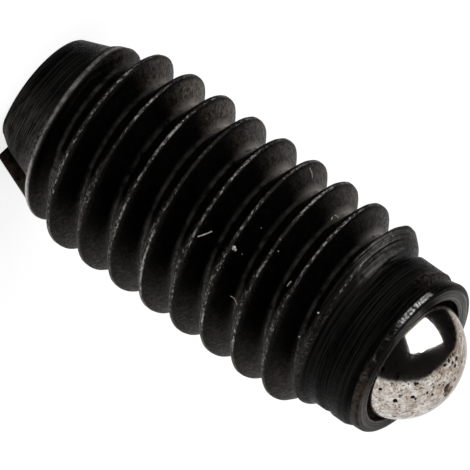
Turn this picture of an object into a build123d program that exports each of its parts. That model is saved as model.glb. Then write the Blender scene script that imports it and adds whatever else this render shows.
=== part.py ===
from build123d import *

import os
from math import ceil, cos, pi, radians, sin, sqrt, tan

# Ball spring plunger: a slotted M4 threaded body, a spring in its bore and a captive steel ball.
# Millimetres, Z up along the axis. The plunger stands on its slotted end: the end face lies at
# Z = 0, centred on the origin, and the ball looks up.

# ---------------------------------------------------------------- driving dimensions (mm, deg)
# Body
body_length = 8.43  # slotted end face to the lip's face
tail_diameter = 2.56  # slotted end face, where the long lead-in cone starts
tail_cone_angle = 20
tail_edge_round = 0.05
nose_length = 1.49  # end of the full thread to the lip's face
front_chamfer_angle = 42  # from the thread down to the collar
collar_diameter = 3.13
crimp_groove_depth = 0.06
crimp_groove_width = 0.12
lip_length = 0.24  # in front of the crimp groove
lip_diameter = 3.10
lip_edge_round = 0.08
lip_face_width = 0.24
lip_mouth_depth = 0.08  # from the lip's face to the throat that holds the ball

# Thread: M4 x 0.7, right-handed
thread_diameter = 3.85  # over the crests
thread_pitch = 0.7
thread_depth = 0.43
thread_angle = 60
thread_crest_flat = 0.075
runout_setback = 0.533  # from the lip's face back to where the groove ends on the collar
runout_angle = 95  # the same point, turned about Z from +X

# Screwdriver slot across the slotted end
slot_width = 0.66
slot_depth = 0.95
slot_angle = -28.5  # direction of the slot, turned about Z from +X

# Ball, and the bore that it slides in
ball_diameter = 2.38
ball_protrusion = 0.86  # in front of the lip, at rest
ball_clearance = 0.03  # radial, in the bore
lip_clearance = 0.01  # between the ball at rest and the lip that holds it
drill_point_angle = 118
floor_thickness = 0.47  # between the drill point and the slot

# Spring with closed and ground ends
spring_wire = 0.40
spring_clearance = 0.12  # radial, in the bore
spring_active_turns = 4.6
spring_closed_turns = 1.0  # at each end
closed_turn_gap = 0.02
seat_clearance = 0.01  # between the spring and the ball
points_per_turn = 12  # along the spring's centre line

# ---------------------------------------------------------------- derived sizes
thread_radius = thread_diameter / 2
root_radius = thread_radius - thread_depth
flank_slope = tan(radians(thread_angle / 2))
root_flat = thread_pitch - thread_crest_flat - 2 * thread_depth * flank_slope
cutter_mouth = thread_pitch - thread_crest_flat / 2  # past the crests, clear of the next turn
cutter_height = (cutter_mouth - root_flat) / 2 / flank_slope
thread_end = body_length - nose_length
thread_runout = body_length - runout_setback

tail_radius = tail_diameter / 2
cone_end = (thread_radius - tail_radius) / tan(radians(tail_cone_angle))
collar_radius = collar_diameter / 2
chamfer_end = thread_end + (thread_radius - collar_radius) / tan(radians(front_chamfer_angle))
groove_radius = collar_radius - crimp_groove_depth
lip_radius = lip_diameter / 2
lip_back = body_length - lip_length

ball_radius = ball_diameter / 2
ball_height = body_length + ball_protrusion - ball_radius
bore_radius = ball_radius + ball_clearance
drill_slope = tan(radians(drill_point_angle / 2))
drill_point = slot_depth + floor_thickness
bore_floor = drill_point + bore_radius / drill_slope
lip_throat_height = body_length - lip_mouth_depth
lip_throat_radius = sqrt(
    (ball_radius + lip_clearance) ** 2 - (lip_throat_height - ball_height) ** 2
)
lip_mouth_radius = lip_radius - lip_edge_round - lip_face_width

# The spring stands on the drill point's cone and reaches the ball
spring_outer_radius = bore_radius - spring_clearance
spring_radius = spring_outer_radius - spring_wire / 2
spring_inner_radius = spring_radius - spring_wire / 2
spring_base = drill_point + spring_outer_radius / drill_slope
spring_top = ball_height - sqrt((ball_radius + seat_clearance) ** 2 - spring_inner_radius**2)
spring_turns = spring_active_turns + 2 * spring_closed_turns
closed_pitch = spring_wire + closed_turn_gap
active_rise = spring_top - spring_base - spring_turns * closed_pitch  # beyond the closed pitch

# ---------------------------------------------------------------- one turn of the thread groove
with BuildPart() as thread_turn:
    with BuildLine() as groove_path:
        Helix(thread_pitch, thread_pitch, root_radius)
    with BuildSketch(Plane(groove_path.line @ 0, x_dir=(1, 0, 0), z_dir=groove_path.line % 0)):
        with BuildLine():
            Polyline(
                (0, -root_flat / 2),
                (cutter_height, -cutter_mouth / 2),
                (cutter_height, cutter_mouth / 2),
                (0, root_flat / 2),
                close=True,
            )
        make_face()
    sweep(path=groove_path.line, is_frenet=True)

# ---------------------------------------------------------------- body
with BuildPart() as body:
    # Turned blank with its bore, drill point and the lip rolled in over the ball
    with BuildSketch(Plane.XZ):
        with BuildLine():
            Polyline(
                (0, 0),
                (tail_radius, 0),
                (thread_radius, cone_end),
                (thread_radius, thread_end),
                (collar_radius, chamfer_end),
                (collar_radius, lip_back - crimp_groove_width),
                (groove_radius, lip_back - crimp_groove_width / 2),
                (lip_radius, lip_back),
                (lip_radius, body_length),
                (lip_mouth_radius, body_length),
                (lip_throat_radius, lip_throat_height),
                (bore_radius, ball_height),
                (bore_radius, bore_floor),
                (0, drill_point),
                close=True,
            )
        make_face()
    revolve(axis=Axis.Z)
    rims = edges().filter_by(GeomType.CIRCLE)
    fillet(rims.group_by(Axis.Z)[0], radius=tail_edge_round)
    fillet(rims.group_by(Axis.Z)[-1].sort_by(SortBy.RADIUS)[-1], radius=lip_edge_round)
    # Thread, cut back turn by turn from its runout until it leaves the cone
    thread_turns = ceil(thread_runout / thread_pitch)
    with Locations(
        *[
            Location((0, 0, thread_runout - turn * thread_pitch), (0, 0, runout_angle))
            for turn in range(1, thread_turns + 1)
        ]
    ):
        add(thread_turn.part, mode=Mode.SUBTRACT)
    # Screwdriver slot
    with BuildSketch(Plane.XY):
        Rectangle(thread_diameter, slot_width, rotation=slot_angle)
    extrude(amount=slot_depth, mode=Mode.SUBTRACT)


# ---------------------------------------------------------------- spring
def rise(turn):
    """Height of the wire's centre above the spring's base, turn being counted from the base."""
    share = min(max(turn - spring_closed_turns, 0), spring_active_turns) / spring_active_turns
    return turn * closed_pitch + active_rise * (share - sin(2 * pi * share) / (2 * pi))


with BuildPart() as spring:
    point_count = round(spring_turns * points_per_turn)
    turns = [spring_turns * i / point_count for i in range(point_count + 1)]
    with BuildLine() as wire_path:
        Spline(
            *[
                (
                    spring_radius * cos(2 * pi * turn),
                    spring_radius * sin(2 * pi * turn),
                    spring_base + rise(turn),
                )
                for turn in turns
            ]
        )
    with BuildSketch(Plane(wire_path.line @ 0, x_dir=(1, 0, 0), z_dir=wire_path.line % 0)):
        Circle(spring_wire / 2)
    sweep(path=wire_path.line, is_frenet=True)
    # Both ends are ground flat, square to the axis
    split(bisect_by=Plane.XY.offset(spring_base), keep=Keep.TOP)
    split(bisect_by=Plane.XY.offset(spring_top), keep=Keep.BOTTOM)

# ---------------------------------------------------------------- ball
with BuildPart(Plane.XY.offset(ball_height)) as ball:
    Sphere(ball_radius)

# ---------------------------------------------------------------- export
body.part.label = "body"
spring.part.label = "spring"
ball.part.label = "ball"

os.makedirs("parts", exist_ok=True)
export_step(body.part, "parts/body.step")
export_step(spring.part, "parts/spring.step")
export_step(ball.part, "parts/ball.step")
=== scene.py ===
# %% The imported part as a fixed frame
from math import cos, pi, radians, sin, sqrt, tan

import bmesh
import bpy
from mathutils import Matrix, Vector


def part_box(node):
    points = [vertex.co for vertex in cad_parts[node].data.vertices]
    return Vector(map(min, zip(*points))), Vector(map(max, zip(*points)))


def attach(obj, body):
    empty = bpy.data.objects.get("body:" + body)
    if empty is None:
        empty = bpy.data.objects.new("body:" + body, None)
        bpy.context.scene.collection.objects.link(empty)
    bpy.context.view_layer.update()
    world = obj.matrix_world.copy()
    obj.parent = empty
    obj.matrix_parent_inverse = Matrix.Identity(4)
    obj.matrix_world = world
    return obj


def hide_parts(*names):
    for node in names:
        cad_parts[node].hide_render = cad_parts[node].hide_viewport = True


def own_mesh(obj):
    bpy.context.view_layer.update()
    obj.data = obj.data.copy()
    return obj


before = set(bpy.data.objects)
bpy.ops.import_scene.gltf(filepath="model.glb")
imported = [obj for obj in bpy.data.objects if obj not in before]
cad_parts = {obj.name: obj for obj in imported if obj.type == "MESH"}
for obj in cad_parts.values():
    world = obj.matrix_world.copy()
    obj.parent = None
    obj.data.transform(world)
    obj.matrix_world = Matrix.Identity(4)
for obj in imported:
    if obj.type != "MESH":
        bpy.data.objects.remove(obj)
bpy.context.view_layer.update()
MM = 0.001  # the sizes below are written in millimetres

# %% [markdown]
# The plunger is a short threaded body with a screwdriver slot in one end. A spring and a
# polished ball sit in a bore at the other end, and a rolled lip keeps the ball in. The sizes
# below are the ones that a maker would turn, cut and roll to. All of them are in millimetres,
# with Z along the axis and the slotted end at zero.

# %% Sizes of the body
BODY_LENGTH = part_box("body")[1].z / MM
CREST_RADIUS = 1.925
ROOT_RADIUS = 1.495
PITCH = 0.70
ROOT_FLAT = 0.112
FLANK_SLOPE = sqrt(3)  # mm outwards for each mm along the axis, in a 60 degree thread
CREST_PHASE = 0.1875  # height of a crest line where it crosses the side at -Y
TAIL_RADIUS = 1.292
CONE_SLOPE = tan(radians(20))
THREAD_END = 6.94
COLLAR_RADIUS = 1.575
CHAMFER_SLOPE = tan(radians(42))
SKIN_TOP = 7.95  # where the threaded skin meets the rolled lip
SLOT_WIDTH, SLOT_DEPTH, SLOT_ANGLE = 0.66, 0.95, radians(-28.5)
print("body is", round(BODY_LENGTH, 2), "long and", 2 * CREST_RADIUS, "over the thread")

# %% [markdown]
# Many shapes here follow a rule, so Geometry Nodes work them out. A long formula is hard to
# read as separate calls, so this small class puts the Math nodes behind plain arithmetic: a
# Field is one number that the tree works out at every point.


# %% Arithmetic with nodes
class Field:
    """One output of a node tree that can be added, multiplied and compared."""

    def __init__(self, tree, socket):
        self.tree, self.socket = tree, socket

    def do(self, operation, *others):
        node = self.tree.nodes.new("ShaderNodeMath")
        node.operation = operation
        for slot, value in zip(node.inputs, (self, *others)):
            if isinstance(value, Field):
                self.tree.links.new(value.socket, slot)
            else:
                slot.default_value = value
        return Field(self.tree, node.outputs[0])

    def __add__(self, other):
        return self.do("ADD", other)

    def __sub__(self, other):
        return self.do("SUBTRACT", other)

    def __mul__(self, other):
        return self.do("MULTIPLY", other)

    def __truediv__(self, other):
        return self.do("DIVIDE", other)

    def clamp(self, low, high):
        return self.do("MAXIMUM", low).do("MINIMUM", high)

    def ramp(self, start, end):
        """0 before start, 1 after end and an even climb between them."""
        return ((self - start) * (1 / (end - start))).clamp(0.0, 1.0)

    def flip(self):
        """1 where this is 0, and 0 where this is 1."""
        return self * -1.0 + 1.0


def add_node(tree, kind, links=None, **settings):
    """A new node with its settings made and its inputs linked or given a value."""
    node = tree.nodes.new(kind)
    for name, value in settings.items():
        setattr(node, name, value)
    for name, value in (links or {}).items():
        slot = node.inputs[name]
        if isinstance(value, Field):
            value = value.socket
        if isinstance(value, bpy.types.NodeSocket):
            tree.links.new(value, slot)
        else:
            slot.default_value = value
    return node


def noise_at(tree, vector, scale, detail=2.0, roughness=0.5):
    """Cloudy noise, about 0.5 on average, as a Field."""
    node = add_node(tree, "ShaderNodeTexNoise", {"Vector": vector, "Scale": scale,
                                                "Detail": detail, "Roughness": roughness})
    return Field(tree, node.outputs[0])


def reach_along(tree, vector, direction):
    """How far a vector reaches in one direction, as a Field."""
    node = add_node(tree, "ShaderNodeVectorMath", {0: vector, 1: direction},
                    operation="DOT_PRODUCT")
    return Field(tree, node.outputs["Value"])


def toward(turn, degrees):
    """1 on the side at this angle round the axis, and -1 on the side across from it."""
    return ((turn - degrees / 360) * (2 * pi)).do("COSINE")


print("node helpers ready")

# %% [markdown]
# A Geometry Nodes tree gets its sizes from named inputs, as a drawing has named dimensions.
# One helper builds an empty tree with those inputs. Another hangs the tree on an object, gives
# the inputs their values, and turns the evaluated result into a plain mesh. The modifier is
# gone after that, so the piece is ordinary geometry.


# %% Making and baking a Geometry Nodes tree
def new_tree(name, inputs):
    """An empty tree with a geometry input and one named number for each size."""
    tree = bpy.data.node_groups.new(name, "GeometryNodeTree")
    tree.interface.new_socket("Geometry", in_out="INPUT", socket_type="NodeSocketGeometry")
    for label in inputs:
        tree.interface.new_socket(label, in_out="INPUT", socket_type="NodeSocketFloat")
    tree.interface.new_socket("Geometry", in_out="OUTPUT", socket_type="NodeSocketGeometry")
    group_in = tree.nodes.new("NodeGroupInput")
    sizes = {label: Field(tree, group_in.outputs[label]) for label in inputs}
    return tree, group_in.outputs["Geometry"], sizes


def close_tree(tree, geometry, material):
    """Ends the tree in Realize Instances and Set Material."""
    real = add_node(tree, "GeometryNodeRealizeInstances", {"Geometry": geometry})
    paint = add_node(tree, "GeometryNodeSetMaterial",
                     {"Geometry": real.outputs[0], "Material": material})
    group_out = tree.nodes.new("NodeGroupOutput")
    tree.links.new(paint.outputs[0], group_out.inputs["Geometry"])


def add_object(name, data):
    """A new object in the scene."""
    made = bpy.data.objects.new(name, data)
    bpy.context.scene.collection.objects.link(made)
    return made


def grow(name, tree, values, material, start=None):
    """Runs the tree on a starting mesh and keeps the result as one plain mesh object."""
    seed = add_object(name + "_start", start or bpy.data.meshes.new(name + "_start"))
    modifier = seed.modifiers.new(name, "NODES")
    modifier.node_group = tree
    for item in tree.interface.items_tree:
        if item.in_out == "INPUT" and item.name in values:
            modifier[item.identifier] = float(values[item.name])
    graph = bpy.context.evaluated_depsgraph_get()
    mesh = bpy.data.meshes.new_from_object(seed.evaluated_get(graph), depsgraph=graph)
    seed.modifiers.clear()
    bpy.data.objects.remove(seed)
    mesh.name = name
    if not mesh.materials:
        mesh.materials.append(material)
    return add_object(name, mesh)


def measure(piece):
    """Prints what a piece came out as."""
    mesh = piece.data
    mesh.calc_loop_triangles()
    spans = [[round(pick(v.co[i] for v in mesh.vertices) / MM, 3) for i in range(3)]
             for pick in (min, max)]
    print(piece.name, "triangles", len(mesh.loop_triangles), "box in mm", spans)


print("tree helpers ready")

# %% [markdown]
# The materials come next, because each tree names the one it paints with. Every pattern reads
# the piece's own Object coordinates, brought from metres to millimetres, so that scales are
# easy to think about. On a turned and threaded body most marks follow either the tool's rings
# or the thread. One node group therefore says where on the thread a point lies.


# %% Shader group: where on the thread
def new_group(name, inputs, outputs):
    """An empty shader group with named inputs (kind, default) and outputs (kind)."""
    group = bpy.data.node_groups.new(name, "ShaderNodeTree")
    for label, (kind, default) in inputs.items():
        made = group.interface.new_socket(label, in_out="INPUT", socket_type="NodeSocket" + kind)
        if default is not None:
            made.default_value = default
    for label, kind in outputs.items():
        group.interface.new_socket(label, in_out="OUTPUT", socket_type="NodeSocket" + kind)
    group_in = group.nodes.new("NodeGroupInput")
    group_out = group.nodes.new("NodeGroupOutput")
    return group, group_in, group_out


WEAR_OFFSET = 0.014  # handling wears the crests a little past their middle


def thread_place_group():
    """Places in mm: how far below the turned blank, from the thread's edge and from its root."""
    group, into, out = new_group(
        "thread place", {},
        {"Below blank": "Float", "From edge": "Float", "From root": "Float", "Past crest": "Float",
         "Height": "Float", "Radius": "Float", "Turn": "Float", "Place": "Vector",
         "Rings": "Vector", "Along thread": "Vector"})
    coordinates = add_node(group, "ShaderNodeTexCoord")
    scaled = add_node(group, "ShaderNodeVectorMath", {0: coordinates.outputs["Object"]},
                      operation="SCALE")
    scaled.inputs["Scale"].default_value = 1 / MM
    split = add_node(group, "ShaderNodeSeparateXYZ", {0: scaled.outputs[0]})
    x, y, z = (Field(group, split.outputs[i]) for i in range(3))
    turn = x.do("ARCTAN2", y * -1.0) / (2 * pi)
    radius = (x * x + y * y).do("SQRT")
    lead = (z - CREST_PHASE) / PITCH - turn + 0.5
    coil = lead.do("FLOOR")
    side = (lead - coil - 0.5) * PITCH
    from_root = side.do("ABSOLUTE") * -1.0 + PITCH / 2
    groove = (from_root - ROOT_FLAT / 2).do("MAXIMUM", 0.0) * FLANK_SLOPE + ROOT_RADIUS
    cone = z * CONE_SLOPE + TAIL_RADIUS
    front = ((z * -1.0 + THREAD_END) * CHAMFER_SLOPE + CREST_RADIUS).do("MAXIMUM", COLLAR_RADIUS)
    blank = cone.do("MINIMUM", CREST_RADIUS).do("MINIMUM", front)
    rings = add_node(group, "ShaderNodeCombineXYZ",
                     {0: turn * 2.0, 1: radius * 26.0, 2: z * 26.0})
    grain = add_node(group, "ShaderNodeCombineXYZ",
                     {0: turn * 130.0, 1: side * 24.0, 2: coil * 7.7})
    from_edge = (side - WEAR_OFFSET).do("ABSOLUTE")
    for label, value in (("Below blank", blank - radius), ("From edge", from_edge),
                         ("From root", from_root), ("Past crest", side), ("Height", z),
                         ("Radius", radius), ("Turn", turn)):
        group.links.new(value.socket, out.inputs[label])
    group.links.new(scaled.outputs[0], out.inputs["Place"])
    group.links.new(rings.outputs[0], out.inputs["Rings"])
    group.links.new(grain.outputs[0], out.inputs["Along thread"])
    return group


THREAD_PLACE = thread_place_group()
print("group", THREAD_PLACE.name)

# %% [markdown]
# Handling rubs the black finish off sharp edges first. The wear is never an even line: it
# breaks into bright specks where the edge stood a little proud. The group below takes a
# distance from an edge and gives back a mask that is strongest on the edge and broken up by
# noise.


# %% Shader group: broken wear along an edge
def edge_wear_group():
    """A mask that is 1 on an edge and breaks up with distance from it."""
    group, into, out = new_group(
        "edge wear",
        {"Distance": ("Float", 1.0), "Width": ("Float", 0.03), "Grain": ("Vector", None),
         "Amount": ("Float", 0.5)},
        {"Mask": "Float"})
    distance, width, amount = (
        Field(group, into.outputs[label]) for label in ("Distance", "Width", "Amount"))
    fine = noise_at(group, into.outputs["Grain"], 1.0, 4.0, 0.75)
    broad = noise_at(group, into.outputs["Grain"], 0.07)
    near = (distance / width).flip().clamp(0.0, 1.0)
    level = fine + (broad - 0.5) * 0.55 + (amount - 0.5) * 0.6
    mask = ((level - 0.5) * 7.0).clamp(0.0, 1.0) * near
    group.links.new(mask.socket, out.inputs["Mask"])
    return group


EDGE_WEAR = edge_wear_group()
print("group", EDGE_WEAR.name)

# %% [markdown]
# Every finish here is one Principled shader. A value that is the same all over is set on the
# shader's own socket. What changes over the surface comes from masks, and each mask lays one
# more colour over those below it.


# %% Making a material
def principled(name, **constants):
    """A material with one Principled shader whose fixed values are set on its own sockets."""
    material = bpy.data.materials.new(name)
    material.use_nodes = True
    shader = material.node_tree.nodes["Principled BSDF"]
    for label, value in constants.items():
        shader.inputs[label.replace("_", " ")].default_value = value
    return material, material.node_tree, shader


def mix_colour(tree, factor, first, second):
    """Blends two colours by a mask."""
    node = add_node(tree, "ShaderNodeMix", {"Factor": factor, 6: first, 7: second},
                    data_type="RGBA")
    return node.outputs[2]


def use_group(tree, group, **links):
    """A copy of a shader group, with its inputs linked or given a value."""
    return add_node(tree, "ShaderNodeGroup", links, node_tree=group)


print("material helpers ready")

# %% [markdown]
# Black oxide is a thin dark skin on steel, almost black face on. The turned faces keep the
# tool's rings, which are lighter than the rolled flanks. All its marks lie by places on the
# body: how high, how far round, how far from an edge. This class looks the places up once, so
# that each family of marks can use them.


# %% Places on the body
class BodyPlaces:
    """Where a point lies on the body, in mm and turns, inside one material's tree."""

    def __init__(self, tree):
        self.tree = tree
        place = use_group(tree, THREAD_PLACE)
        self.below, self.edge, self.root, self.past, self.height, self.radius, self.turn = (
            Field(tree, place.outputs[label]) for label in (
                "Below blank", "From edge", "From root", "Past crest", "Height", "Radius",
                "Turn"))
        self.spot, self.thread_line = place.outputs["Place"], place.outputs["Along thread"]
        self.across = (self.turn * (2 * pi)).do("SINE")  # 1 on the low side, -1 on the high
        self.threaded = self.height.ramp(0.6, 0.9) * self.height.ramp(7.05, 7.25).flip()
        self.proud = self.below.ramp(0.02, 0.05).flip()
        full_thread = self.height.ramp(1.75, 1.9) * self.height.ramp(6.9, 6.95).flip()
        ends = (self.proud * full_thread.flip()).do("MAXIMUM", self.height.ramp(7.3, 7.4))
        self.turned = ends * self.radius.ramp(1.24, 1.28)
        self.rings = self.noise(1.0, place.outputs["Rings"], 4.0, 0.8).ramp(0.45, 0.70)

    def noise(self, scale, vector=None, detail=3.0, roughness=0.6):
        return noise_at(self.tree, vector or self.spot, scale, detail, roughness)

    def toward(self, degrees):
        return toward(self.turn, degrees)


print("places ready")

# %% [markdown]
# Fingers and the mating thread rub the finish off the crests. The bare line along each crest is
# partly real wear and partly a painted highlight of the window, lighter than worn steel alone.
# Beside it the black is only polished thin, and past it lie small pale specks. The lead-in
# crests at the slotted end stand proud, so they wear most.


# %% Masks: rubbed, speckled and bare crests, the bare line with a painted highlight
def wear_masks(at):
    handled = at.across.ramp(-0.95, -0.65) * 0.7 + 0.3
    lead_in = at.height.ramp(1.45, 0.95)
    rubbed = at.edge.ramp(0.085, 0.03) * at.noise(34.0, detail=2.0).ramp(0.40, 0.62)
    rubbed = rubbed * at.across.ramp(-0.1, 0.5)
    rubbed = rubbed.do("MAXIMUM", at.edge.ramp(0.034, 0.016) * handled) * at.threaded
    rubbed = rubbed.do("MAXIMUM", lead_in * at.edge.ramp(0.075, 0.03) * at.threaded)
    specks = at.edge.ramp(0.15, 0.06) * at.past.ramp(0.015, -0.005) * at.across.ramp(0.10, 0.45)
    specks = specks * at.noise(17.0, detail=4.0, roughness=0.7).ramp(0.50, 0.64) * at.threaded
    # the bare line: worn steel with a painted highlight of the window along each crest
    line = use_group(at.tree, EDGE_WEAR, Distance=at.edge, Width=0.030, Grain=at.thread_line,
                     Amount=0.47)
    bare_and_highlight = Field(at.tree, line.outputs[0]) * at.threaded * handled
    start = lead_in * at.edge.ramp(0.05, 0.02) * at.threaded * at.noise(9.0).ramp(0.3, 0.6)
    bare_and_highlight = bare_and_highlight.do("MAXIMUM", start * (at.across.ramp(0.5, 0.95) * 0.6 + 0.4))
    return rubbed, specks, bare_and_highlight


print("wear masks ready")

# %% [markdown]
# Dust sticks to the oil film wherever nothing wipes it off: a brown bloom on the flanks of the
# two sides, partly dust and partly a painted sheen where the flanks are seen edge on. A pale
# line in the roots there is a painted glow, a faint grey line in every root is a painted
# highlight, and the back wall of each groove on the low side is a lighter grey. It thins out
# towards the ball.


# %% Colours of the dust, the painted sheen and the painted root light
def dust_and_sheen_layers(at):
    """Masks and colours, from the lowest layer up."""
    low_half = at.across.ramp(0.0, 0.3)
    bare_start = (at.height.ramp(0.9, 2.3) * 0.75 + 0.25).do("MAXIMUM", low_half)
    thinning = (at.height.ramp(2.2, 3.8) * -0.46 + 1.0) * (at.height.ramp(3.6, 6.6) * -0.52 + 1.0)
    sides = at.across.do("POWER", 2.0).ramp(0.42, 1.0).do("POWER", 1.6) * bare_start * (
        at.across.ramp(0.2, -0.2) * 0.6 + 0.4)
    # painted sheen: a brown dust mottle, made lighter on the two sides where the flanks are seen
    # edge on
    dusty_sheen = at.noise(12.0, detail=5.0, roughness=0.8).ramp(0.43, 0.59) * at.threaded * (
        sides * thinning.do("MAXIMUM", low_half))
    dusty_sheen = dusty_sheen * (at.noise(4.5).ramp(0.38, 0.58) * 0.5 + 0.5) * at.edge.ramp(0.04, 0.08)
    # painted glow: a pale line in the roots on the two sides, standing in for light bounced
    # between the lobes
    painted_root_glow = at.root.ramp(0.13, 0.015) * sides.do("POWER", 1.5) * at.threaded
    # painted highlight: a faint grey line along every root, where the root's fillet catches the
    # light
    painted_root_highlight = at.root.ramp(0.055, 0.015) * at.noise(5.0, detail=4.0).ramp(0.34, 0.66)
    back_wall = at.past.ramp(0.0, -0.04) * at.across.ramp(0.34, 0.72) * at.noise(
        15.0, detail=5.0, roughness=0.8).ramp(0.38, 0.60) * at.threaded
    return [(dusty_sheen, (0.152, 0.117, 0.084)), (painted_root_glow, (0.30, 0.28, 0.25)),
            (painted_root_highlight * at.threaded, (0.027, 0.0255, 0.024)),
            (back_wall, (0.105, 0.098, 0.088))]


print("dust layers ready")

# %% [markdown]
# The slotted end has scuffs across its cone, rust where the saw bared the steel in the slot,
# and one bright stretch on the first crest. The scuffs are drawn out round the cone, the way
# it turns when it is screwed in.


# %% Colours of the slotted end
def slotted_end_layers(at):
    drawn = add_node(at.tree, "ShaderNodeCombineXYZ", {0: at.turn * 15.0, 1: at.height * 28.0})
    scuffs = at.height.ramp(1.05, 0.85) * at.noise(1.0, drawn.outputs[0], 5.0, 0.75).ramp(
        0.46, 0.66) * at.toward(44).ramp(0.6, 0.95) * at.proud
    slot_middle = reach_along(at.tree, at.spot, (-sin(SLOT_ANGLE), cos(SLOT_ANGLE), 0.0))
    sawn = slot_middle.do("ABSOLUTE").ramp(SLOT_WIDTH / 2 + 0.02, SLOT_WIDTH / 2 + 0.004)
    sawn = sawn * at.height.ramp(SLOT_DEPTH + 0.02, SLOT_DEPTH)
    rust = sawn * at.noise(7.0, detail=5.0, roughness=0.7).ramp(0.36, 0.60) * (
        at.radius.ramp(1.05, 1.45))
    bright = at.edge.ramp(0.045, 0.015) * at.height.ramp(1.15, 1.08) * at.threaded * (
        at.toward(72).ramp(0.80, 0.97)) * (
            at.noise(11.0, detail=4.0).ramp(0.36, 0.58) * 0.6 + 0.4)
    return {"scuffs": (scuffs, (0.052, 0.049, 0.045)), "rust": (rust, (0.040, 0.025, 0.016)),
            "bright": (bright, (0.62, 0.60, 0.57))}


print("slotted end layers ready")

# %% [markdown]
# The front was rolled, and the tool's marks are still there: grime in the crimp, rings on the
# lip's face with a painted reflection on its far side, a painted highlight along its mouth,
# painted sheen streaks on the chamfer, old oil on the lip's outside, and a row of small nicks
# where the rolling tool chattered, painted as bright glints where the lip mirrors the window.


# %% Colours of the front
def front_layers(at):
    grime = at.height.ramp(7.86, 7.98) * at.height.ramp(8.16, 8.08)
    grime = grime * at.noise(13.0).ramp(0.42, 0.62) * at.toward(-85).ramp(0.75, 0.95)
    low_grime = at.height.ramp(8.2, 8.3) * at.toward(68).ramp(0.70, 0.92) * at.noise(
        9.0, detail=5.0, roughness=0.7).ramp(0.42, 0.62)
    # painted highlight: a thin light line along the mouth's inner edge
    mouth = at.radius.ramp(1.24, 1.262) * at.radius.ramp(1.30, 1.28) * at.height.ramp(
        8.37, 8.395) * at.noise(12.0).ramp(0.3, 0.6)
    # painted sheen: light streaks on the chamfer only round -46 degrees, towards the window
    sheen_streaks = at.height.ramp(6.96, 7.06) * at.height.ramp(7.40, 7.26) * at.rings * (
        at.toward(-46).ramp(0.88, 0.99)) * at.noise(7.0).ramp(0.3, 0.6)
    # painted reflection: the face's tool rings are made light on its far side, where it mirrors
    # the white table
    reflection_side = at.toward(-10).ramp(0.8, 0.35) * (at.across.ramp(0.4, -0.2) * 0.62 + 0.38)
    face = at.height.ramp(8.37, 8.395) * at.radius.ramp(1.25, 1.28) * at.radius.ramp(1.50, 1.46)
    face_rings_and_reflection = face * reflection_side * (at.rings * 0.88 + 0.12)
    oil = at.radius.ramp(1.49, 1.53) * at.height.ramp(8.16, 8.22) * at.noise(
        14.0, detail=4.0).ramp(0.42, 0.60) * at.toward(-27).ramp(0.80, 0.30)
    return {"grime": (grime.do("MAXIMUM", low_grime), (0.040, 0.031, 0.024)),
            "mouth": (mouth, (0.16, 0.15, 0.14)), "sheen_streaks": (sheen_streaks, (0.23, 0.225, 0.215)),
            "face rings and reflection": (face_rings_and_reflection, (0.42, 0.40, 0.37)), "oil": (oil, (0.070, 0.050, 0.036))}


def nick_glint_mask(at):
    """The row of nicks on the edge of the lip, painted as bright glints, strongest on the near
    side.
    """
    rolled = at.height.ramp(8.28, 8.31) * at.height.ramp(8.39, 8.37) * at.radius.ramp(1.46, 1.49)
    around = add_node(at.tree, "ShaderNodeCombineXYZ", {0: at.turn * 60.0, 1: at.height * 9.0})
    tick = (at.turn * 118.0 + at.noise(1.0, around.outputs[0], 2.0) * 3.6).do("FRACT")
    tick = tick.do("PINGPONG", 0.5).ramp(0.06, 0.22)
    # painted glints: the nicks are lit only round -31 degrees, where the lip's rounding mirrors
    # the window
    strength = at.toward(-31).ramp(0.955, 0.99) * 0.94 + at.noise(
        0.5, around.outputs[0]).ramp(0.52, 0.62) * 0.10
    return rolled * (tick * at.noise(1.9, around.outputs[0]).ramp(0.38, 0.58) * strength)


print("front layers ready")

# %% [markdown]
# The layers go on from the widest spread to the most local: tool rings, dust with a painted
# sheen and painted root light, wear with a painted crest highlight, and then the marks of the
# two ends, among them a painted reflection, painted highlights and painted glints. Bare steel is
# metallic and the rest is not.


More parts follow.
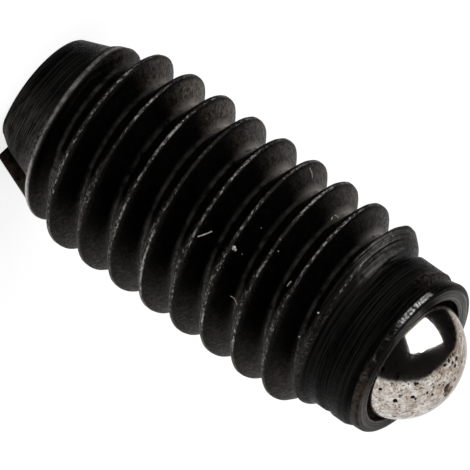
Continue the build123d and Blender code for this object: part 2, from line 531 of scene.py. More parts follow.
# %% Material: black oxide steel
def black_oxide():
    material, tree, shader = principled("black oxide steel", Specular_IOR_Level=0.035)
    shader.inputs["Specular Tint"].default_value = (1.0, 0.94, 0.87, 1)
    at = BodyPlaces(tree)
    rubbed, specks, bare_and_highlight = wear_masks(at)
    tail, front, nick_glints = slotted_end_layers(at), front_layers(at), nick_glint_mask(at)
    tool_rings = at.rings * at.turned * (at.height.ramp(1.4, 2.0) * 0.07 + 0.48)
    colour = mix_colour(tree, at.noise(6.0, detail=4.0).ramp(0.45, 0.8),
                        (0.0004, 0.0004, 0.0004, 1), (0.0022, 0.0018, 0.0014, 1))
    # these layers include painted sheen, painted root light, a painted crest highlight, a painted
    # reflection and painted glints
    for mask, paint in [
            (tool_rings, (0.027, 0.026, 0.025)), *dust_and_sheen_layers(at),
            (rubbed, (0.020, 0.0185, 0.017)), (specks, (0.18, 0.172, 0.16)),
            (bare_and_highlight, (0.56, 0.54, 0.515)), tail["scuffs"], front["grime"], tail["rust"],
            front["mouth"], tail["bright"], front["sheen_streaks"], front["face rings and reflection"],
            front["oil"], (nick_glints, (0.75, 0.74, 0.72))]:
        colour = mix_colour(tree, mask, colour, (*paint, 1))
    metal = (bare_and_highlight * 0.75).do("MAXIMUM", nick_glints * 0.8).do("MAXIMUM", rubbed * 0.5)
    rough = at.noise(14.0, detail=5.0, roughness=0.8).ramp(0.35, 0.65) * 0.40 + 0.16
    relief = at.rings * at.turned * (at.height.ramp(8.36, 8.40) * 9.0 + 0.8)
    relief = relief + at.noise(16.0, detail=5.0, roughness=0.8) * 6.0
    bump = add_node(tree, "ShaderNodeBump", {"Height": relief, "Strength": 0.5,
                                            "Distance": 0.004 * MM})
    for value, label in ((colour, "Base Color"), (metal.socket, "Metallic"),
                         (rough.socket, "Roughness"), (bump.outputs[0], "Normal")):
        tree.links.new(value, shader.inputs[label])
    return material


BLACK_OXIDE = black_oxide()
print("material", BLACK_OXIDE.name, "nodes", len(BLACK_OXIDE.node_tree.nodes))

# %% [markdown]
# The thread's depth at any point depends only on its height and its turn about the axis. A
# grid of points is therefore enough: each row climbs one pitch in a turn, so that rows run
# along the crests and roots instead of across them. The turned blank and the cut groove are
# two radii, and the smaller one is what is left of the steel. A smooth minimum rounds the
# edge between them as rolling and plating do.


# %% Geometry Nodes: the threaded skin
ROUND_BLANK, ROUND_CREST, ROUND_ROOT = 0.03, 0.045, 0.05  # how softly two faces meet


def blank_radius(z, sizes):
    """The turned blank before it is threaded: lead-in cone, straight part, chamfer, collar."""
    cone = z * CONE_SLOPE + sizes["Tail radius"]
    chamfer = (z * -1.0 + sizes["Thread end"]) * CHAMFER_SLOPE + sizes["Crest radius"]
    front = chamfer.do("SMOOTH_MAX", COLLAR_RADIUS, ROUND_ROOT)
    return cone.do("SMOOTH_MIN", sizes["Crest radius"], ROUND_BLANK).do(
        "SMOOTH_MIN", front, ROUND_BLANK)


def groove_radius(z, turn, sizes, blank, upper):
    """The thread's groove: how deep the steel is cut at this height and turn."""
    lead = (z - CREST_PHASE) / sizes["Pitch"] - turn
    from_crest = lead.do("PINGPONG", 0.5) * sizes["Pitch"]
    crest_half = (PITCH - ROOT_FLAT) / 2 - (CREST_RADIUS - ROOT_RADIUS) / FLANK_SLOPE
    full = sizes["Crest radius"] - blank.do("MINIMUM", sizes["Crest radius"])
    wide = full * z.ramp(1.12, 0.98) * upper
    climb = (from_crest - crest_half) * FLANK_SLOPE
    wall = blank.do("MINIMUM", sizes["Crest radius"]) + wide - climb
    centre = z - (lead - lead.do("FLOOR") - 0.5) * sizes["Pitch"]
    fade = centre.ramp(0.93, 0.70) * 0.5 + z.ramp(7.78, 7.90) * 0.3
    return wall.do("SMOOTH_MAX", ROOT_RADIUS, ROUND_ROOT) + fade


def spun_grid(tree, columns, rows):
    """A grid of points with its column as a turn from 0 to 1 and its row as a whole number."""
    grid = add_node(tree, "GeometryNodeMeshGrid",
                    {"Vertices X": columns + 1, "Vertices Y": rows + 1})
    index = Field(tree, add_node(tree, "GeometryNodeInputIndex").outputs[0])
    column = (index + 0.5).do("DIVIDE", rows + 1).do("FLOOR")
    row = index - column * (rows + 1)
    return grid.outputs["Mesh"], column / columns, row


def set_round(tree, mesh, turn, radius, z):
    """Moves grid points to a radius and a height, turned about the axis."""
    angle = turn * (2 * pi)
    place = add_node(tree, "ShaderNodeCombineXYZ",
                     {0: angle.do("SINE") * radius, 1: angle.do("COSINE") * radius * -1.0,
                      2: z})
    moved = add_node(tree, "GeometryNodeSetPosition",
                     {"Geometry": mesh, "Position": place.outputs[0]})
    return moved.outputs[0]


COLUMNS, ROWS_PER_PITCH = 184, 27
WELD = 0.0012  # points of neighbouring skins closer than this become one
CHIP_TURN, CHIP_REACH, CHIP_DEPTH = 48 / 360, 0.36, 0.11
print("grid", COLUMNS, "points round and", ROWS_PER_PITCH, "rows in a pitch")

# %% [markdown]
# The two ends are plain turned shapes: the flat slotted end with its rounded rim, and the
# front with its crimp groove, rolled lip, bore and drill point. They are drawn as half
# profiles, as for a lathe, and the tree spins each one into a skin that meets the threaded
# part point for point. Rolling leaves the lip a little off centre and not quite square.


# %% Half profiles of the two ends
def arc(centre, radius, start, end, steps):
    """Points on an arc in the (radius, height) plane, angles in degrees from +radius."""
    return [(centre[0] + radius * cos(radians(start + (end - start) * i / steps)),
             centre[1] + radius * sin(radians(start + (end - start) * i / steps)))
            for i in range(steps + 1)]


def along(points, step):
    """The same outline with extra points, so that no run is longer than step."""
    filled = [points[0]]
    for (r0, z0), (r1, z1) in zip(points, points[1:]):
        count = max(1, round(sqrt((r1 - r0) ** 2 + (z1 - z0) ** 2) / step))
        filled += [(r0 + (r1 - r0) * i / count, z0 + (z1 - z0) * i / count)
                   for i in range(1, count + 1)]
    return filled


BALL_RADIUS, BALL_HEIGHT, BORE_RADIUS = 1.19, 8.10, 1.22
LIP_RADIUS, LIP_BACK, LIP_ROUND, CRIMP_RADIUS = 1.54, 8.19, 0.09, 1.485
THROAT_RADIUS, THROAT_HEIGHT, MOUTH_RADIUS = 1.183, BODY_LENGTH - 0.18, 1.262
DRILL_POINT, BORE_FLOOR = 1.42, 2.153
RIM_BOTTOM = 0.05

tail_profile = along([(0.0, 0.0), (TAIL_RADIUS - 0.035, 0.0)], 0.12)
rim_top = TAIL_RADIUS + CONE_SLOPE * RIM_BOTTOM
tail_profile += [(TAIL_RADIUS - 0.006, 0.009), (TAIL_RADIUS + 0.009, 0.026), (rim_top, RIM_BOTTOM)]
front_profile = along(
    [(COLLAR_RADIUS, SKIN_TOP), (COLLAR_RADIUS, LIP_BACK - 0.13),
     (CRIMP_RADIUS, LIP_BACK - 0.085), (CRIMP_RADIUS - 0.016, LIP_BACK - 0.06),
     (CRIMP_RADIUS - 0.012, LIP_BACK - 0.04), (LIP_RADIUS - 0.012, LIP_BACK - 0.006),
     (LIP_RADIUS, LIP_BACK + 0.012)], 0.03)
front_profile += arc((LIP_RADIUS - LIP_ROUND, BODY_LENGTH - LIP_ROUND), LIP_ROUND, 0, 90, 6)
front_profile += along(
    [(LIP_RADIUS - LIP_ROUND - 0.04, BODY_LENGTH), (MOUTH_RADIUS + 0.02, BODY_LENGTH - 0.006),
     (MOUTH_RADIUS, BODY_LENGTH - 0.016), (MOUTH_RADIUS - 0.02, BODY_LENGTH - 0.12),
     (THROAT_RADIUS, THROAT_HEIGHT), (BORE_RADIUS, BALL_HEIGHT + 0.03)], 0.045)
front_profile += [(BORE_RADIUS, 7.0), (BORE_RADIUS, 4.6), (BORE_RADIUS, BORE_FLOOR),
                  (0.6, DRILL_POINT + 0.36), (0.0, DRILL_POINT)]
print("profile points:", len(tail_profile), "at the slotted end,", len(front_profile), "in front")

# %% [markdown]
# Both profiles go into one little mesh of loose points, and the tree looks them up by number.
# The threaded part comes first, with the first crests that rolling lifted and the chip beside
# the slot. The slot is cut last, by a block taken away from the closed solid, as a saw would.


# %% Geometry Nodes: the threaded part
def chip_depth(turn, z):
    """How much steel is knocked off the rim's corner beside the slot."""
    aside = (turn - CHIP_TURN) * (2 * pi * TAIL_RADIUS)
    reach = (aside * aside + z * z).do("SQRT")
    return reach.ramp(CHIP_REACH, 0.0).do("POWER", 1.3) * CHIP_DEPTH


def threaded_skin(tree, sizes, position):
    """The skin from the rim of the slotted end to the lip."""
    turns = (SKIN_TOP + PITCH) / PITCH
    rows = round(turns * ROWS_PER_PITCH) + 1
    mesh, turn, row = spun_grid(tree, COLUMNS, rows)
    z = row * (PITCH / ROWS_PER_PITCH) - PITCH + turn * sizes["Pitch"]
    z = z.clamp(RIM_BOTTOM, SKIN_TOP)
    blank = blank_radius(z, sizes)
    straight = z.ramp(THREAD_END - 0.5, THREAD_END - 0.4) * 0.6 + blank
    upper = toward(turn, -110).ramp(0.2, 0.7)
    groove = groove_radius(z, turn, sizes, straight, upper)
    radius = blank.do("SMOOTH_MIN", groove, ROUND_CREST)
    # rolling lifts the first crests a little above the lead-in cone
    lead = (z - CREST_PHASE) / sizes["Pitch"] - turn
    ridge = (lead.do("PINGPONG", 0.5) * sizes["Pitch"] - upper * 0.10).ramp(0.13, 0.02)
    lifted = z.ramp(0.52, 0.70) * z.ramp(0.98, 0.86) * upper * 0.7 + z.ramp(0.9, 1.0) * 0.6 * (
        z.ramp(1.13, 1.05)) + z.ramp(1.05, 1.13) * z.ramp(2.1, 1.45)
    radius = (radius + ridge * lifted * 0.075).do("MINIMUM", sizes["Crest radius"])
    # both edges of the skin are plain circles, where the turned ends join on
    at_rim = z.ramp(RIM_BOTTOM, RIM_BOTTOM + 0.02)
    at_top = z.ramp(SKIN_TOP - 0.04, SKIN_TOP).flip()
    radius = radius * at_rim + at_rim.flip() * rim_top
    radius = radius * at_top + at_top.flip() * COLLAR_RADIUS
    skin = set_round(tree, mesh, turn, radius, z)
    # small dents and swellings that rolling leaves along the crests
    dents = (noise_at(tree, position, 2.6, 3.0) - 0.5) * 0.016 + (
        noise_at(tree, position, 0.9) - 0.5) * 0.02
    high = radius.ramp(1.75, 1.90) * at_rim
    worn = radius + (dents - 0.006).do("MINIMUM", 0.0) * high - chip_depth(turn, z)
    return set_round(tree, skin, turn, worn, z)


print("threaded part ready, the chip is", CHIP_DEPTH, "deep")

# %% [markdown]
# The turned ends are looked up point by point from the starting mesh. On the way the front
# gets what rolling did to it: a slight lean, a deeper crimp on two sides and a lip that closes
# tighter on one.


# %% Geometry Nodes: the two turned ends
def rolled_front(turn, radius, height):
    """The front's profile point, moved as the rolling tool left it."""
    near, far, left = (toward(turn, degrees) for degrees in (50, 205, 270))
    crimp = height.ramp(7.97, 8.07) * height.ramp(8.33, 8.19)
    lip = height.ramp(8.19, 8.40) * radius.ramp(1.20, 1.40)
    whole = height.ramp(8.00, 8.25) * radius.ramp(1.20, 1.40)
    height = height + crimp * near * 0.06 + lip * far * 0.025
    low = toward(turn, 95).ramp(0.4, 0.95) * 0.45
    notch = height.ramp(8.02, 8.09) * height.ramp(8.22, 8.14) * (left.ramp(0.2, 0.9) + low)
    mouth = radius.ramp(1.32, 1.28) * height.ramp(8.30, 8.38)
    radius = radius + whole * left * 0.03 - chip_depth(turn, height) * radius.ramp(0.9, 1.2)
    radius = radius - notch * 0.05 - mouth * far.ramp(0.2, 0.8) * 0.035
    return radius, height


def turned_end(tree, start, position, first, count):
    """One end, spun from the profile points that begin at number first."""
    mesh, turn, row = spun_grid(tree, COLUMNS, count - 1)
    look = add_node(tree, "GeometryNodeSampleIndex",
                    {"Geometry": start, "Value": position, "Index": row + first + 0.25},
                    data_type="FLOAT_VECTOR", domain="POINT")
    split = add_node(tree, "ShaderNodeSeparateXYZ", {0: look.outputs[0]})
    radius, height = rolled_front(turn, Field(tree, split.outputs[0]),
                                  Field(tree, split.outputs[2]))
    return set_round(tree, mesh, turn, radius, height)


print("turned ends ready")

# %% [markdown]
# The three skins are joined and closed, and the slot is sawn through the solid.


# %% Geometry Nodes: the whole body
def body_tree():
    names = ["Pitch", "Crest radius", "Tail radius", "Thread end", "Slot width", "Slot depth"]
    tree, start, sizes = new_tree("slotted threaded body", names)
    position = add_node(tree, "GeometryNodeInputPosition").outputs[0]
    tail, front = len(tail_profile), len(front_profile)
    parts = [threaded_skin(tree, sizes, position), turned_end(tree, start, position, 0, tail),
             turned_end(tree, start, position, tail, front)]
    joined = tree.nodes.new("GeometryNodeJoinGeometry")
    for part in reversed(parts):
        tree.links.new(part, joined.inputs[0])
    closed = add_node(tree, "GeometryNodeMergeByDistance",
                      {"Geometry": joined.outputs[0], "Distance": WELD})
    # the saw cut
    block = add_node(tree, "GeometryNodeMeshCube")
    size = add_node(tree, "ShaderNodeCombineXYZ",
                    {0: 5.0, 1: sizes["Slot width"], 2: sizes["Slot depth"] * 2.0})
    tree.links.new(size.outputs[0], block.inputs["Size"])
    turned = add_node(tree, "GeometryNodeTransform",
                      {"Geometry": block.outputs[0], "Rotation": (0.0, 0.0, SLOT_ANGLE)})
    cut = add_node(tree, "GeometryNodeMeshBoolean", {"Mesh 1": closed.outputs[0]},
                   operation="DIFFERENCE")
    tree.links.new(turned.outputs[0], cut.inputs["Mesh 2"])
    metres = add_node(tree, "GeometryNodeTransform",
                      {"Geometry": cut.outputs[0], "Scale": (MM, MM, MM)})
    smooth = add_node(tree, "GeometryNodeSetShadeSmooth", {"Geometry": metres.outputs[0]})
    close_tree(tree, smooth.outputs[0], BLACK_OXIDE)
    return tree


profile_points = bpy.data.meshes.new("profiles")
profile_points.from_pydata([(r, 0.0, z) for r, z in tail_profile + front_profile], [], [])
body = grow("threaded_body", body_tree(),
            {"Pitch": PITCH, "Crest radius": CREST_RADIUS, "Tail radius": TAIL_RADIUS,
             "Thread end": THREAD_END, "Slot width": SLOT_WIDTH, "Slot depth": SLOT_DEPTH},
            BLACK_OXIDE, profile_points)
measure(body)

# %% [markdown]
# A spun grid can come out with its faces looking inwards, so the body's are turned outwards
# once. Shading is smooth except where two faces meet sharply, as at the slot.


# %% Faces outwards, sharp edges kept sharp
def tidy(piece, sharp=40):
    """Turns the faces outwards and marks edges sharper than this many degrees."""
    mesh = bmesh.new()
    mesh.from_mesh(piece.data)
    bmesh.ops.dissolve_degenerate(mesh, dist=1e-8, edges=mesh.edges)
    bmesh.ops.recalc_face_normals(mesh, faces=mesh.faces)
    open_edges = sum(1 for edge in mesh.edges if len(edge.link_faces) != 2)
    for edge in mesh.edges:
        if len(edge.link_faces) == 2 and edge.calc_face_angle() > radians(sharp):
            edge.smooth = False
    volume = mesh.calc_volume(signed=True)
    mesh.to_mesh(piece.data)
    mesh.free()
    print(piece.name, "open edges", open_edges, "volume in mm3", round(volume / MM**3, 3))


tidy(body)
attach(body, "housing")
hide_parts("body")

# %% [markdown]
# The ball is hard chrome steel, polished like a mirror. Its front is dotted with small dark
# pits and scratches, and a brown crumb of dried oil clings to it. Pits that can be seen are
# real dents in the mesh, and the dark dirt in them comes from the material, which reads the
# same noise.


# %% Material: polished ball
def pit_field(tree, spot, separate, scale):
    """1 inside a pit and 0 outside, from warped cell noise."""
    warp = add_node(tree, "ShaderNodeTexNoise", {"Vector": spot, "Scale": scale * 1.1,
                                                "Detail": 2.0})
    reach = 0.5 / scale
    bent = add_node(tree, "ShaderNodeVectorMath",
                    {0: warp.outputs["Color"], 1: (reach,) * 3, 2: spot},
                    operation="MULTIPLY_ADD")
    cells = add_node(tree, "ShaderNodeTexVoronoi", {"Vector": bent.outputs[0], "Scale": scale})
    chance = add_node(tree, separate, {0: cells.outputs["Color"]})
    size = Field(tree, chance.outputs[0]).do("POWER", 2.5) * 0.40 + 0.09
    some = Field(tree, chance.outputs[1]).do("GREATER_THAN", 0.35)
    inside = (size - Field(tree, cells.outputs["Distance"])) * 14.0
    return inside.clamp(0.0, 1.0) * some


BIG_PITS = 9.0  # cells in a millimetre; these pits are dents in the mesh too
DARKER_HAZE_SIDE = (-0.484, 0.234, 0.646)  # the haze is darker towards this side
WINDOW_HIGHLIGHT_SIDE = (-0.300, -0.697, 0.360)  # where the window is mirrored; a painted highlight keeps the haze thin and the pits away there


def ball_steel():
    material, tree, shader = principled("polished ball steel", Metallic=1.0)
    coordinates = add_node(tree, "ShaderNodeTexCoord")
    place = add_node(tree, "ShaderNodeMapping", {"Vector": coordinates.outputs["Object"]})
    place.inputs["Location"].default_value = (0, 0, -BALL_HEIGHT)  # the ball's own centre
    place.inputs["Scale"].default_value = (1 / MM,) * 3
    spot = place.outputs[0]
    squash = add_node(tree, "ShaderNodeVectorMath", {0: spot, 1: (0.9, 1.6, 0.55)},
                      operation="MULTIPLY")
    pit_mask = pit_field(tree, spot, "ShaderNodeSeparateColor", BIG_PITS)
    for vector, scale, depth in ((spot, 21.0, 0.85), (squash.outputs[0], 14.0, 0.7)):
        pit_mask = pit_mask.do(
            "MAXIMUM", pit_field(tree, vector, "ShaderNodeSeparateColor", scale) * depth)
    haze = noise_at(tree, spot, 6.0, 5.0, 0.7) * 0.65 + noise_at(tree, spot, 20.0, 3.0) * 0.35
    haze = haze + reach_along(tree, spot, DARKER_HAZE_SIDE).ramp(0.45, 1.0) * 0.10
    # painted highlight: haze and pits are left off round the window's reflection, so it mirrors
    # clean and bright
    highlight_spot = reach_along(tree, spot, WINDOW_HIGHLIGHT_SIDE).ramp(0.84, 0.93)
    colour = mix_colour(tree, haze.ramp(0.40, 0.60) * (highlight_spot * -0.75 + 1.0),
                        (0.97, 0.93, 0.88, 1), (0.40, 0.31, 0.24, 1))
    pit_mask = pit_mask * (highlight_spot * -0.97 + 1.0)
    colour = mix_colour(tree, pit_mask, colour, (0.006, 0.005, 0.004, 1))
    tree.links.new(colour, shader.inputs["Base Color"])
    rough = noise_at(tree, spot, 3.0).ramp(0.3, 0.8) * 0.05 + 0.095
    tree.links.new(rough.socket, shader.inputs["Roughness"])
    bump = add_node(tree, "ShaderNodeBump", {"Height": noise_at(tree, spot, 14.0, 4.0),
                                            "Strength": 0.05, "Distance": 0.004 * MM})
    tree.links.new(bump.outputs[0], shader.inputs["Normal"])
    return material


BALL_STEEL = ball_steel()
print("material", BALL_STEEL.name)

# %% [markdown]
# The mesh starts as an icosphere, whose triangles are all about the same size, so that it has
# no pole to pinch the mirror. Cell noise picks where the pits are, all over the ball, and its
# top is pressed a little flat where it wears.


# %% Geometry Nodes: the ball with its pits
def ball_tree():
    tree, _, sizes = new_tree("pitted ball",
                              ["Ball radius", "Ball height", "Pit depth", "Worn flat"])
    sphere = add_node(tree, "GeometryNodeMeshIcoSphere", {"Subdivisions": 7,
                                                          "Radius": sizes["Ball radius"]})
    position = add_node(tree, "GeometryNodeInputPosition").outputs[0]
    pit = pit_field(tree, position, "FunctionNodeSeparateColor", BIG_PITS)
    normal = add_node(tree, "GeometryNodeInputNormal").outputs[0]
    push = add_node(tree, "ShaderNodeVectorMath", {0: normal}, operation="SCALE")
    split = add_node(tree, "ShaderNodeSeparateXYZ", {0: position})
    pole = (Field(tree, split.outputs[2]) / sizes["Ball radius"]).ramp(0.80, 0.995)
    shrink = pit * sizes["Pit depth"] + pole * sizes["Worn flat"]
    tree.links.new((shrink * -1.0).socket, push.inputs["Scale"])
    dented = add_node(tree, "GeometryNodeSetPosition",
                      {"Geometry": sphere.outputs["Mesh"], "Offset": push.outputs[0]})
    raised = add_node(tree, "ShaderNodeCombineXYZ", {2: sizes["Ball height"] * MM})
    placed = add_node(tree, "GeometryNodeTransform",
                      {"Geometry": dented.outputs[0], "Translation": raised.outputs[0],
                       "Scale": (MM, MM, MM)})
    smooth = add_node(tree, "GeometryNodeSetShadeSmooth", {"Geometry": placed.outputs[0]})
    close_tree(tree, smooth.outputs[0], BALL_STEEL)
    return tree


ball = grow("polished_ball", ball_tree(),
            {"Ball radius": BALL_RADIUS, "Ball height": BALL_HEIGHT, "Pit depth": 0.0012,
             "Worn flat": 0.018},
            BALL_STEEL)
measure(ball)
tidy(ball, 80)
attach(ball, "ball")
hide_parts("ball")

# %% [markdown]
# The spring is bright drawn wire with closed ends, ground flat. It is out of sight in the
# bore, but it is there in the real part and it is what pushes the ball out. Its centre line is
# a helix that starts and ends with a closed turn, and the tree sweeps a circle along it. The
# ends are ground by keeping every point between the two flat faces.


# %% Geometry Nodes: the spring
def wire_steel():
    material, tree, shader = principled("bright spring wire", Metallic=1.0)
    coordinates = add_node(tree, "ShaderNodeTexCoord")
    value = noise_at(tree, coordinates.outputs["Object"], 9.0 / MM, 3.0)
    colour = mix_colour(tree, value.ramp(0.4, 0.7), (0.46, 0.45, 0.43, 1), (0.33, 0.32, 0.31, 1))
    tree.links.new(colour, shader.inputs["Base Color"])
    tree.links.new((value * 0.25 + 0.22).socket, shader.inputs["Roughness"])
    return material


WIRE_STEEL = wire_steel()
SPRING_LOW, SPRING_HIGH = (corner.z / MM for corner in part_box("spring"))
WIRE, COIL_RADIUS, CLOSED_TURNS, ACTIVE_TURNS = 0.40, 0.90, 1.0, 4.6


def spring_tree():
    tree, _, sizes = new_tree("closed and ground spring",
                              ["Wire", "Coil radius", "Low end", "High end"])
    turns = ACTIVE_TURNS + 2 * CLOSED_TURNS
    points = round(turns * 40)
    line = add_node(tree, "GeometryNodeMeshLine", {"Count": points + 1})
    index = Field(tree, add_node(tree, "GeometryNodeInputIndex").outputs[0])
    turn = index * (turns / points)
    closed_pitch = sizes["Wire"] + 0.02
    share = (turn - CLOSED_TURNS).do("DIVIDE", ACTIVE_TURNS).clamp(0.0, 1.0)
    eased = share - (share * (2 * pi)).do("SINE") / (2 * pi)
    extra = sizes["High end"] - sizes["Low end"] - closed_pitch * turns
    height = sizes["Low end"] + turn * closed_pitch + eased * extra
    angle = turn * (2 * pi)
    place = add_node(tree, "ShaderNodeCombineXYZ",
                     {0: angle.do("COSINE") * sizes["Coil radius"] * MM,
                      1: angle.do("SINE") * sizes["Coil radius"] * MM, 2: height * MM})
    laid = add_node(tree, "GeometryNodeSetPosition",
                    {"Geometry": line.outputs[0], "Position": place.outputs[0]})
    path = add_node(tree, "GeometryNodeMeshToCurve", {"Mesh": laid.outputs[0]})
    circle = add_node(tree, "GeometryNodeCurvePrimitiveCircle",
                      {"Resolution": 20, "Radius": sizes["Wire"] * (MM / 2)}, mode="RADIUS")
    wire = add_node(tree, "GeometryNodeCurveToMesh",
                    {"Curve": path.outputs[0], "Profile Curve": circle.outputs[0],
                     "Fill Caps": True})
    position = add_node(tree, "GeometryNodeInputPosition").outputs[0]
    split = add_node(tree, "ShaderNodeSeparateXYZ", {0: position})
    flat = Field(tree, split.outputs[2]).do("MAXIMUM", sizes["Low end"] * MM)
    flat = flat.do("MINIMUM", sizes["High end"] * MM)
    whole = add_node(tree, "ShaderNodeCombineXYZ",
                     {0: split.outputs[0], 1: split.outputs[1], 2: flat})
    ground = add_node(tree, "GeometryNodeSetPosition",
                      {"Geometry": wire.outputs[0], "Position": whole.outputs[0]})
    smooth = add_node(tree, "GeometryNodeSetShadeSmooth", {"Geometry": ground.outputs[0]})
    close_tree(tree, smooth.outputs[0], WIRE_STEEL)
    return tree


spring = grow("ground_spring", spring_tree(),
              {"Wire": WIRE, "Coil radius": COIL_RADIUS, "Low end": SPRING_LOW,
               "High end": SPRING_HIGH}, WIRE_STEEL)
measure(spring)
tidy(spring, 40)
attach(spring, "housing")
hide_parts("spring")
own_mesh(spring)

# %% [markdown]
# A handled part picks up lint and dust. The fibres here are short bent threads of cloth caught
# on the crests; each one is a thin tube swept along a few points laid on the steel. Grains of
# dust are small crumpled balls. A drop of oil has dried on the ball and left a brown crust. All
# three stand on the surface, so they are separate pieces that move with what they lie on.

# %% Where the lint and dust lie
FIBRES = [
    [(0.385, -1.820, 4.485), (0.290, -1.765, 4.545), (0.172, -1.670, 4.590)],
    [(0.902, -1.258, 5.411), (0.896, -1.200, 5.464), (0.926, -1.180, 5.524),
     (0.961, -1.150, 5.574)],
    [(-1.718, -0.695, 5.033), (-1.671, -0.575, 5.079), (-1.605, -0.525, 5.122)],
    [(-1.195, -0.897, 6.001), (-1.248, -0.840, 5.960), (-1.300, -0.760, 5.965),
     (-1.290, -0.790, 6.042)],
    [(0.195, -1.665, 6.316), (0.140, -1.720, 6.330), (0.083, -1.764, 6.358)],
]
GRAINS = [  # place and radius
    (0.182, -1.868, 5.168, 0.040), (0.195, -1.850, 5.210, 0.024), (0.791, -1.275, 6.894, 0.022),
    (0.260, -1.770, 7.098, 0.018), (-0.373, -1.590, 5.270, 0.012),
    (0.192, -1.662, 5.286, 0.012), (-0.215, -1.830, 5.862, 0.014)]
print("fibres", len(FIBRES), "and grains", len(GRAINS))

# %% [markdown]
# None of these shines like steel. Each has a dull finish of two close tones.


# %% Materials: lint, dust and dried oil
def plain_finish(name, first, second, roughness):
    """A dull two-tone finish mottled by noise."""
    material, tree, shader = principled(name, Roughness=roughness, Specular_IOR_Level=0.2)
    coordinates = add_node(tree, "ShaderNodeTexCoord")
    mask = noise_at(tree, coordinates.outputs["Object"], 22.0 / MM, 3.0).ramp(0.4, 0.6)
    tree.links.new(mix_colour(tree, mask, first, second), shader.inputs["Base Color"])
    return material


LINT = plain_finish("cloth lint", (0.55, 0.53, 0.43, 1), (0.30, 0.28, 0.22, 1), 0.9)
DUST = plain_finish("grey dust", (0.42, 0.40, 0.37, 1), (0.16, 0.15, 0.14, 1), 1.0)
CRUST = plain_finish("dried oil", (0.30, 0.185, 0.085, 1), (0.09, 0.055, 0.030, 1), 0.45)
OLD_OIL = plain_finish("old oil", (0.040, 0.027, 0.016, 1), (0.012, 0.009, 0.006, 1), 0.4)
print("dull finishes:", [finish.name for finish in (LINT, DUST, CRUST, OLD_OIL)])

# %% [markdown]
# A fibre is a soft line through its points with a thin ring swept along it. A crumb is a ball
# pushed in and out by noise, set down wherever a starting point lies.


# %% Geometry Nodes: fibres and crumbs
def fibre_tree():
    tree, start, sizes = new_tree("lint fibres", ["Fibre radius", "Bend step"])
    curve = add_node(tree, "GeometryNodeMeshToCurve", {"Mesh": start})
    soft = add_node(tree, "GeometryNodeCurveSplineType", {"Curve": curve.outputs[0]},
                    spline_type="CATMULL_ROM")
    even = add_node(tree, "GeometryNodeResampleCurve",
                    {"Curve": soft.outputs[0], "Length": sizes["Bend step"]}, mode="LENGTH")
    ring = add_node(tree, "GeometryNodeCurvePrimitiveCircle", {"Resolution": 6,
                                                              "Radius": sizes["Fibre radius"]})
    tube = add_node(tree, "GeometryNodeCurveToMesh",
                    {"Curve": even.outputs[0], "Profile Curve": ring.outputs["Curve"],
                     "Fill Caps": True})
    metres = add_node(tree, "GeometryNodeTransform", {"Geometry": tube.outputs[0],
                                                     "Scale": (MM, MM, MM)})
    close_tree(tree, metres.outputs[0], LINT)
    return tree


def crumb_tree(name, material, squash):
    """A crumpled lump on every point of the starting mesh, sized by the point's own number."""
    tree, start, sizes = new_tree(name, ["Crumple"])
    lump = add_node(tree, "GeometryNodeMeshIcoSphere", {"Radius": 1.0, "Subdivisions": 3})
    position = add_node(tree, "GeometryNodeInputPosition").outputs[0]
    rough = (noise_at(tree, position, 1.8, 3.0) - 0.5) * sizes["Crumple"] + 1.0
    grown = add_node(tree, "ShaderNodeVectorMath", {0: position}, operation="SCALE")
    tree.links.new(rough.socket, grown.inputs["Scale"])
    crumpled = add_node(tree, "GeometryNodeSetPosition",
                        {"Geometry": lump.outputs["Mesh"], "Position": grown.outputs[0]})
    flat = add_node(tree, "GeometryNodeTransform", {"Geometry": crumpled.outputs[0],
                                                   "Scale": squash})
    size = add_node(tree, "GeometryNodeInputNamedAttribute", {"Name": "size"}, data_type="FLOAT")
    lean = add_node(tree, "GeometryNodeInputNamedAttribute", {"Name": "lean"},
                    data_type="FLOAT_VECTOR")
    points = add_node(tree, "GeometryNodeInstanceOnPoints",
                      {"Points": start, "Instance": flat.outputs[0], "Scale": size.outputs[0]})
    tree.links.new(lean.outputs[0], points.inputs["Rotation"])
    metres = add_node(tree, "GeometryNodeTransform", {"Geometry": points.outputs[0],
                                                     "Scale": (MM, MM, MM)})
    smooth = add_node(tree, "GeometryNodeSetShadeSmooth", {"Geometry": metres.outputs[0]})
    close_tree(tree, smooth.outputs[0], material)
    return tree


def point_mesh(name, rows):
    """Loose points with a size and a lean each."""
    mesh = bpy.data.meshes.new(name)
    mesh.from_pydata([row[:3] for row in rows], [], [])
    sizes = mesh.attributes.new("size", "FLOAT", "POINT")
    leans = mesh.attributes.new("lean", "FLOAT_VECTOR", "POINT")
    for i, row in enumerate(rows):
        sizes.data[i].value = row[3]
        leans.data[i].vector = row[4] if len(row) > 4 else (0.9 * i, 0.4 * i, 0.0)
    return mesh


print("fibre and crumb trees ready")

# %% [markdown]
# The fibres and grains ride on the body. The drop and its darker edge ride on the ball, so they
# go in with it when it is pressed.

# %% Laying the lint, dust and dried drop
lines = bpy.data.meshes.new("fibre lines")
ends, edges = [], []
for fibre in FIBRES:
    edges += [(len(ends) + i, len(ends) + i + 1) for i in range(len(fibre) - 1)]
    ends += fibre
lines.from_pydata(ends, edges, [])
fibres = grow("lint_fibres", fibre_tree(), {"Fibre radius": 0.011, "Bend step": 0.02}, LINT, lines)
grains = grow("dust_grains", crumb_tree("dust grains", DUST, (1.0, 1.0, 1.0)), {"Crumple": 0.9},
              DUST, point_mesh("grain points", GRAINS))


def on_ball(direction, size):
    """A point row for a lump that sits on the ball, leaning outwards."""
    away = Vector(direction).normalized()
    place = away * (BALL_RADIUS - 0.030) + Vector((0, 0, BALL_HEIGHT))
    return (*place, size, tuple(away.to_track_quat("Z", "Y").to_euler()))


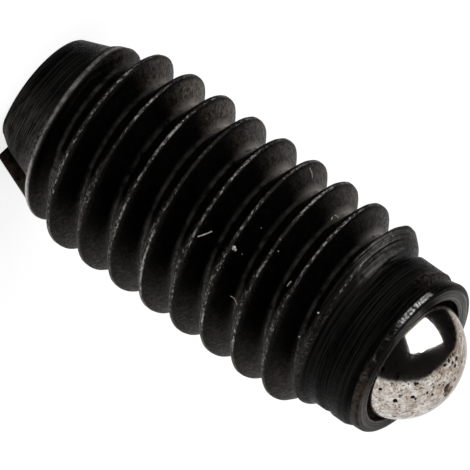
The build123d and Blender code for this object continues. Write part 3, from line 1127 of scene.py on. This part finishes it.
crust = grow("dried_drop", crumb_tree("dried drop", CRUST, (0.80, 1.0, 0.26)), {"Crumple": 0.4},
             CRUST, point_mesh("drop point", [on_ball((0.066, 0.016, 0.997), 0.125)]))
rim = grow("drop_edge", crumb_tree("drop edge", OLD_OIL, (1.0, 0.75, 0.42)), {"Crumple": 0.8},
           OLD_OIL, point_mesh("edge points", [on_ball((0.022, -0.140, 0.988), 0.082),
                                               on_ball((0.062, -0.092, 0.993), 0.066),
                                               on_ball((-0.040, -0.150, 0.985), 0.040)]))
for piece, body_name in ((fibres, "housing"), (grains, "housing"), (crust, "ball"), (rim, "ball")):
    measure(piece)
    tidy(piece, 80)
    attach(piece, body_name)

# %% [markdown]
# The part stands on a plain white table. The table is white to the camera by its own light,
# with a little shading on top, so that the part's soft shadow still shows on it. The room is
# white where the table would be and dark on the side that the flanks face, as in a small
# product tent with its front open. Matt surfaces get an even light from everywhere.


# %% Table and room
TABLE_SIDE = Vector((0.630, 0.769, 0.110)).normalized()  # the side where the room is white
TABLE_REACH = 60 * MM
TABLE_GREY, TABLE_GLOW = 0.35, 0.78


def table_top():
    """A plain square at the height that the part stands on."""
    mesh = bpy.data.meshes.new("table_top")
    corners = [(-1, -1), (1, -1), (1, 1), (-1, 1)]
    mesh.from_pydata([(x * TABLE_REACH, y * TABLE_REACH, 0) for x, y in corners],
                     [], [(0, 1, 2, 3)])
    table = add_object("table_top", mesh)
    table.visible_glossy = False
    material, tree, shader = principled("white table", Roughness=1.0, Specular_IOR_Level=0.0)
    shader.inputs["Base Color"].default_value = (TABLE_GREY, TABLE_GREY, TABLE_GREY, 1)
    shader.inputs["Emission Color"].default_value = (1, 1, 1, 1)
    shader.inputs["Emission Strength"].default_value = TABLE_GLOW
    mesh.materials.append(material)
    return table


def room():
    """What lights the part from all round and what its steel mirrors."""
    world = bpy.data.worlds.new("room")
    bpy.context.scene.world = world
    world.use_nodes = True
    tree = world.node_tree
    background = tree.nodes["Background"]
    direction = add_node(tree, "ShaderNodeTexCoord").outputs["Generated"]
    lean = reach_along(tree, direction, TABLE_SIDE)
    white = lean.ramp(0.11, 0.24)
    rays = add_node(tree, "ShaderNodeLightPath")
    camera, glossy = (Field(tree, rays.outputs[f"Is {k} Ray"]) for k in ("Camera", "Glossy"))
    glow = lean.ramp(-0.7, 0.1).do("POWER", 2.0) * 0.01
    seen = glossy * (white * 0.74 + glow) + glossy.flip() * 0.55
    level = camera.do("MAXIMUM", seen)
    tree.links.new(level.socket, background.inputs["Strength"])
    background.inputs["Color"].default_value = (1, 1, 1, 1)


table = table_top()
room()
print("table", table.name)

# %% [markdown]
# One soft lamp does the modelling. It is a window, wider than it is high, close above the part
# and to the side, and it is the bright four-sided patch that a polished ball shows.


# %% The window lamp
WINDOW_WIDTH, WINDOW_HEIGHT, WINDOW_DISTANCE = 0.095, 0.0624, 0.083  # metres
WINDOW_RADIANCE = 2.6  # how bright the window is, in W per square metre and steradian


def placed(right, up, back, place):
    """The matrix that sets a lamp or a camera down, looking along minus back."""
    return Matrix(((right.x, up.x, back.x, place.x), (right.y, up.y, back.y, place.y),
                   (right.z, up.z, back.z, place.z), (0, 0, 0, 1)))


def window_lamp():
    """The window, with its middle at a set distance from the ball's."""
    data = bpy.data.lights.new("window", "AREA")
    data.shape = "RECTANGLE"
    data.size, data.size_y = WINDOW_WIDTH, WINDOW_HEIGHT
    lamp = add_object("window", data)
    target = Vector((0, 0, BALL_HEIGHT * MM))
    centre = Vector((-0.6617, -0.5966, 0.4542)) * WINDOW_DISTANCE
    across = Vector((0.4201, -0.8985, 0.1273)).normalized()
    back = Vector((-0.6070, -0.1739, 0.7754)).normalized()
    lamp.matrix_world = placed(across, back.cross(across), back, target + centre)
    data.energy = WINDOW_RADIANCE * pi * data.size * data.size_y
    return lamp


window = window_lamp()
print("window power in W", round(window.data.energy, 4))

# %% [markdown]
# The camera looks at the part from the ball's side with a very long lens, so that the thread's
# lobes keep the same size from end to end. It is rolled until the axis slopes down across the
# frame.

# %% Camera
FIELD_WIDTH = 8.241 * MM
AIM = Vector((-0.00001, 0, 0.004374))  # the middle of the view, in metres
camera_data = bpy.data.cameras.new("camera")
camera_data.sensor_width, camera_data.lens = 36.0, 1000.0
camera = add_object("camera", camera_data)
right = Vector((-0.5763, 0.2784, 0.7683)).normalized()
back = Vector((0.0, -0.9402, 0.3407)).normalized()
up = back.cross(right).normalized()
distance = FIELD_WIDTH * camera_data.lens / camera_data.sensor_width
eye = AIM + back * distance
camera.matrix_world = placed(right, up, back, eye)
camera_data.clip_start, camera_data.clip_end = 0.01, 10
bpy.context.scene.camera = camera
bpy.context.scene.view_settings.view_transform = "Standard"
print("camera", [round(v, 4) for v in eye])
